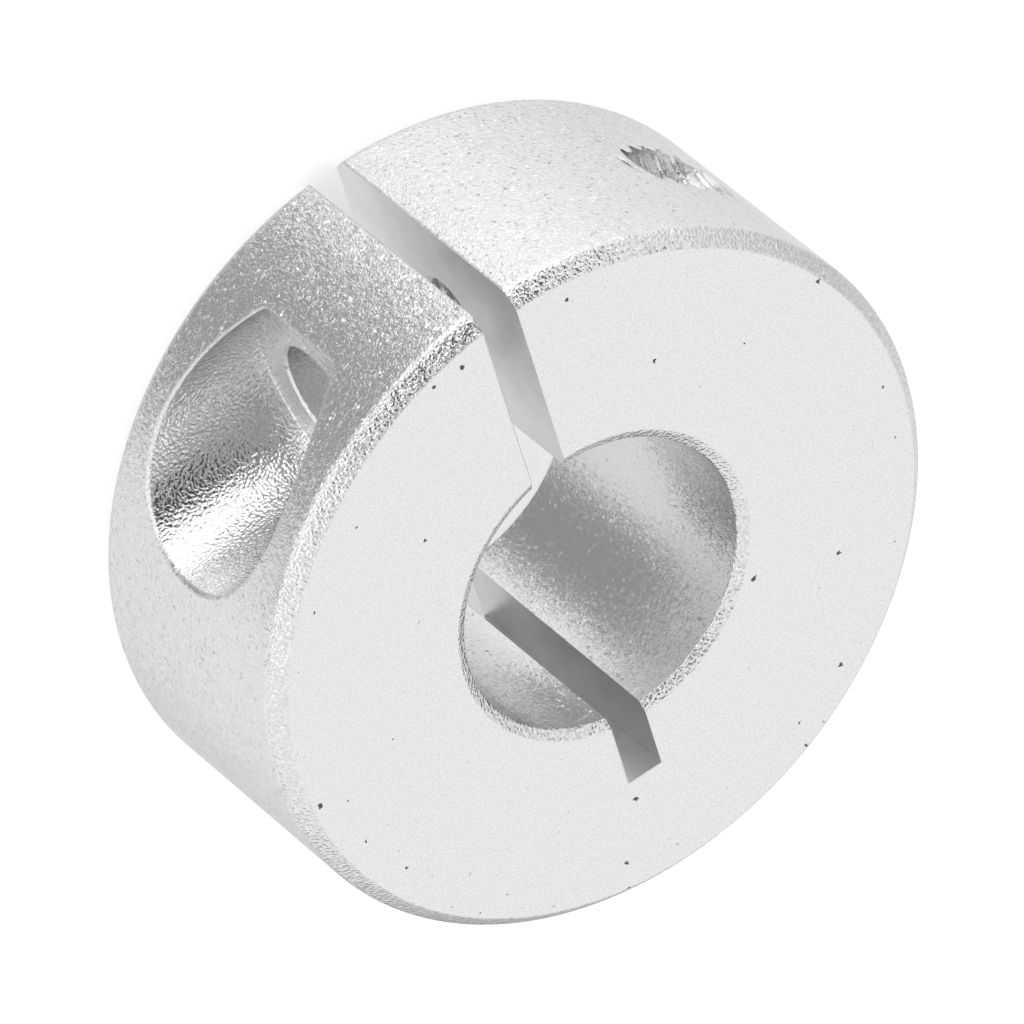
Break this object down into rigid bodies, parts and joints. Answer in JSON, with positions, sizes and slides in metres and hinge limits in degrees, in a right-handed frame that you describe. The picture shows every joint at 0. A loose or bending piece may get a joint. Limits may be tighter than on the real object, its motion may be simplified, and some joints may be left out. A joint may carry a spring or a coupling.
{
  "type": "shaft collar",
  "caption": "One-piece split clamping shaft collar with a counterbored tangential screw hole and a socket head cap screw, shown drawn out of its hole.",
  "frame": {"origin": "on the axis of the shaft bore, at the middle of the collar's width", "axes": "+Z along the shaft bore, out of the front face; +Y through the clamp slit; +X along the screw's axis, from its head to its tip, so the screw is driven towards +X"},
  "size_m": [0.0435, 0.024, 0.01],
  "materials": {
    "blasted_aluminium": "fine bead-blasted, satin",
    "black_oxide_steel": "black oxide, lightly oiled"
  },
  "bodies": {
    "collar": {"collar_ring": "blasted_aluminium"},
    "screw": {"clamp_screw": "black_oxide_steel"}
  },
  "joints": [
    {"name": "screw_travel", "type": "slide", "parent": "collar", "child": "screw", "axis": [1, 0, 0], "range_m": [0, 0.0236]}
  ]
}
